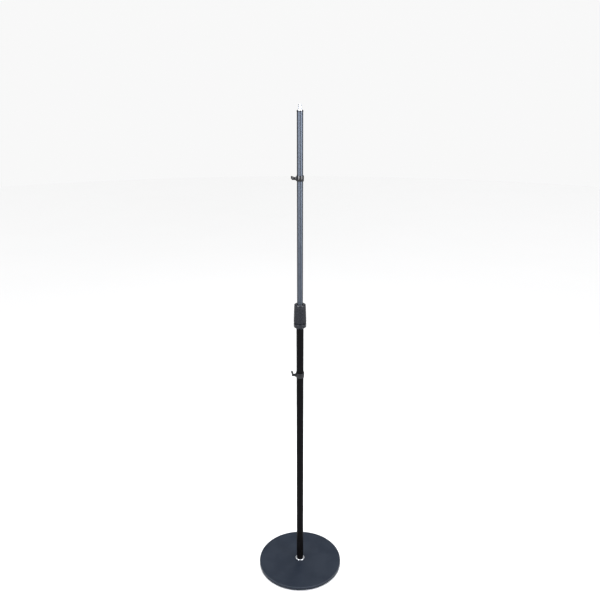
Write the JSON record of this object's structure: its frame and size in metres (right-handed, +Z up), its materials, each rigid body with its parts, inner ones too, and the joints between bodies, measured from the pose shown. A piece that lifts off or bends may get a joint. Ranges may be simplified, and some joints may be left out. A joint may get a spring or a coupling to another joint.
{
  "type": "round-base telescopic stand",
  "caption": "Telescopic tube stand on a heavy round base, with a twist clutch, a threaded top stud and spring clips with cable hooks.",
  "frame": {"origin": "centre of the base, at floor level", "axes": "+Z up along the mast, -X towards the cable hooks, +Y to the back, where the clips open"},
  "size_m": [0.25, 0.25, 1.3676],
  "materials": {
    "powder_coated_iron": "satin black powder coat over cast iron",
    "rubber": "matt black rubber",
    "zinc": "bright zinc plate on turned steel",
    "black_steel": "smooth black coat on steel tube",
    "satin_steel": "satin black coat on steel tube",
    "clutch_plastic": "fine-grained black glass-filled nylon",
    "brass": "turned brass",
    "white_plastic": "natural acetal",
    "clip_plastic": "glossy black moulded plastic"
  },
  "bodies": {
    "stand": {"base_plate": "powder_coated_iron", "rubber_foot_ring": "rubber", "foot_spigot": "zinc", "lower_tube": "black_steel", "clutch_core": "clutch_plastic", "clutch_collar": "clutch_plastic"},
    "clamp": {"collet": "white_plastic", "pressure_ring": "white_plastic"},
    "grip": {"clutch_grip": "clutch_plastic", "clutch_nut": "brass"},
    "mast_guide": {"guide_bush": "white_plastic"},
    "upper_mast": {"upper_tube": "satin_steel", "guide_plug": "clutch_plastic", "tube_end_ring": "clutch_plastic", "top_stud": "zinc"},
    "upper_cable_clip": {"upper_clip": "clip_plastic"},
    "lower_cable_clip": {"lower_clip": "clip_plastic"}
  },
  "joints": [
    {"name": "mast_slide", "type": "slide", "parent": "stand", "child": "mast_guide", "axis": [0, 0, 1], "range_m": [-0.327, 0.211]},
    {"name": "mast_turn", "type": "hinge", "parent": "mast_guide", "child": "upper_mast", "pos_m": [0, 0, 0], "axis": [0, 0, 1], "continuous": true},
    {"name": "clutch_travel", "type": "slide", "parent": "stand", "child": "clamp", "axis": [0, 0, 1], "range_m": [0, 0.002]},
    {"name": "clutch_twist", "type": "hinge", "parent": "clamp", "child": "grip", "pos_m": [0, 0, 0], "axis": [0, 0, 1], "range_deg": [0, 360]},
    {"name": "upper_clip_slide", "type": "slide", "parent": "upper_mast", "child": "upper_cable_clip", "axis": [0, 0, -1], "range_m": [-0.154, 0.327]},
    {"name": "lower_clip_slide", "type": "slide", "parent": "stand", "child": "lower_cable_clip", "axis": [0, 0, -1], "range_m": [-0.132, 0.615]}
  ],
  "couplings": [
    {"joint": "clutch_twist", "follows": "clutch_travel", "rad_per_m": 3141.6}
  ]
}
